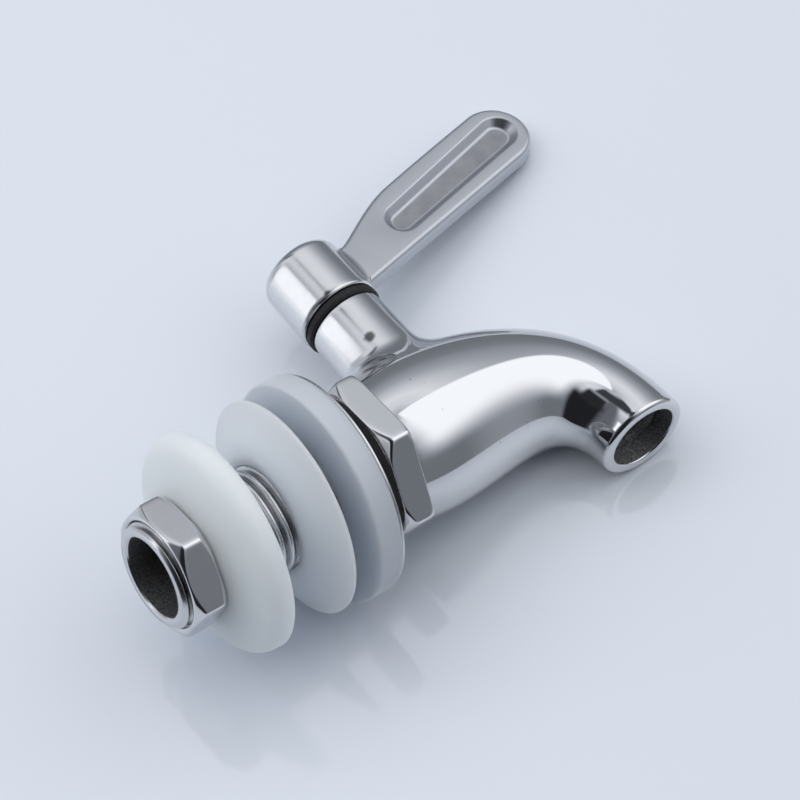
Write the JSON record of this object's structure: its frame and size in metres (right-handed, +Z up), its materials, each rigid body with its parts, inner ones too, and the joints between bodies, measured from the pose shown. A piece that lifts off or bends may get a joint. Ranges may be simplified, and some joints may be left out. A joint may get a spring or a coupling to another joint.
{
  "type": "wine barrel faucet",
  "caption": "Stainless barrel tap with a threaded shank, nut, washers and gasket, a curved tapering spout, and a quarter-turn ball valve worked by a long paddle handle.",
  "frame": {"origin": "where the shank's axis meets the seating face of the hex flange", "axes": "+X along the shank's axis towards the spout, +Z up the valve stem to the handle, Y across"},
  "size_m": [0.0957, 0.034, 0.0627],
  "materials": {
    "polished_steel": "mirror polished stainless steel",
    "cast_steel": "satin cast stainless steel",
    "plain_steel": "turned stainless steel",
    "white_silicone": "soft satin, slightly translucent",
    "grey_silicone": "soft satin, slightly translucent",
    "black_rubber": "satin",
    "ptfe": "smooth"
  },
  "bodies": {
    "housing": {"body": "polished_steel", "front_seat": "ptfe", "rear_seat": "ptfe", "seat_retainer": "plain_steel", "gland_bush": "plain_steel", "stem_washer": "ptfe", "stop_pin": "plain_steel", "hub_ring": "black_rubber"},
    "handle": {"handle_hub": "polished_steel", "handle_paddle": "cast_steel", "lock_washer": "plain_steel", "handle_screw": "plain_steel", "stem": "plain_steel", "ball": "plain_steel", "lower_stem_ring": "black_rubber", "upper_stem_ring": "black_rubber"},
    "outer_washer": {"outer_washer": "white_silicone"},
    "nut": {"hex_nut": "polished_steel"},
    "inner_washer": {"inner_washer": "white_silicone"},
    "front_seal": {"seal_gasket": "grey_silicone", "steel_washer": "plain_steel"}
  },
  "joints": [
    {"name": "handle_turn", "type": "hinge", "parent": "housing", "child": "handle", "pos_m": [0.0154, 0, 0], "axis": [0, 0, 1], "range_deg": [0, 90]},
    {"name": "outer_washer_slide", "type": "slide", "parent": "housing", "child": "outer_washer", "axis": [1, 0, 0], "range_m": [0, 0.0069]},
    {"name": "nut_turn", "type": "hinge", "parent": "outer_washer", "child": "nut", "pos_m": [-0.0311, 0, 0], "axis": [1, 0, 0], "range_deg": [0, 1657]},
    {"name": "inner_washer_slide", "type": "slide", "parent": "housing", "child": "inner_washer", "axis": [1, 0, 0], "range_m": [0, 0.0038]},
    {"name": "front_seal_slide", "type": "slide", "parent": "housing", "child": "front_seal", "axis": [1, 0, 0], "range_m": [0, 0.0035]}
  ],
  "couplings": [
    {"joint": "nut_turn", "follows": "outer_washer_slide", "rad_per_m": 4188.8}
  ]
}
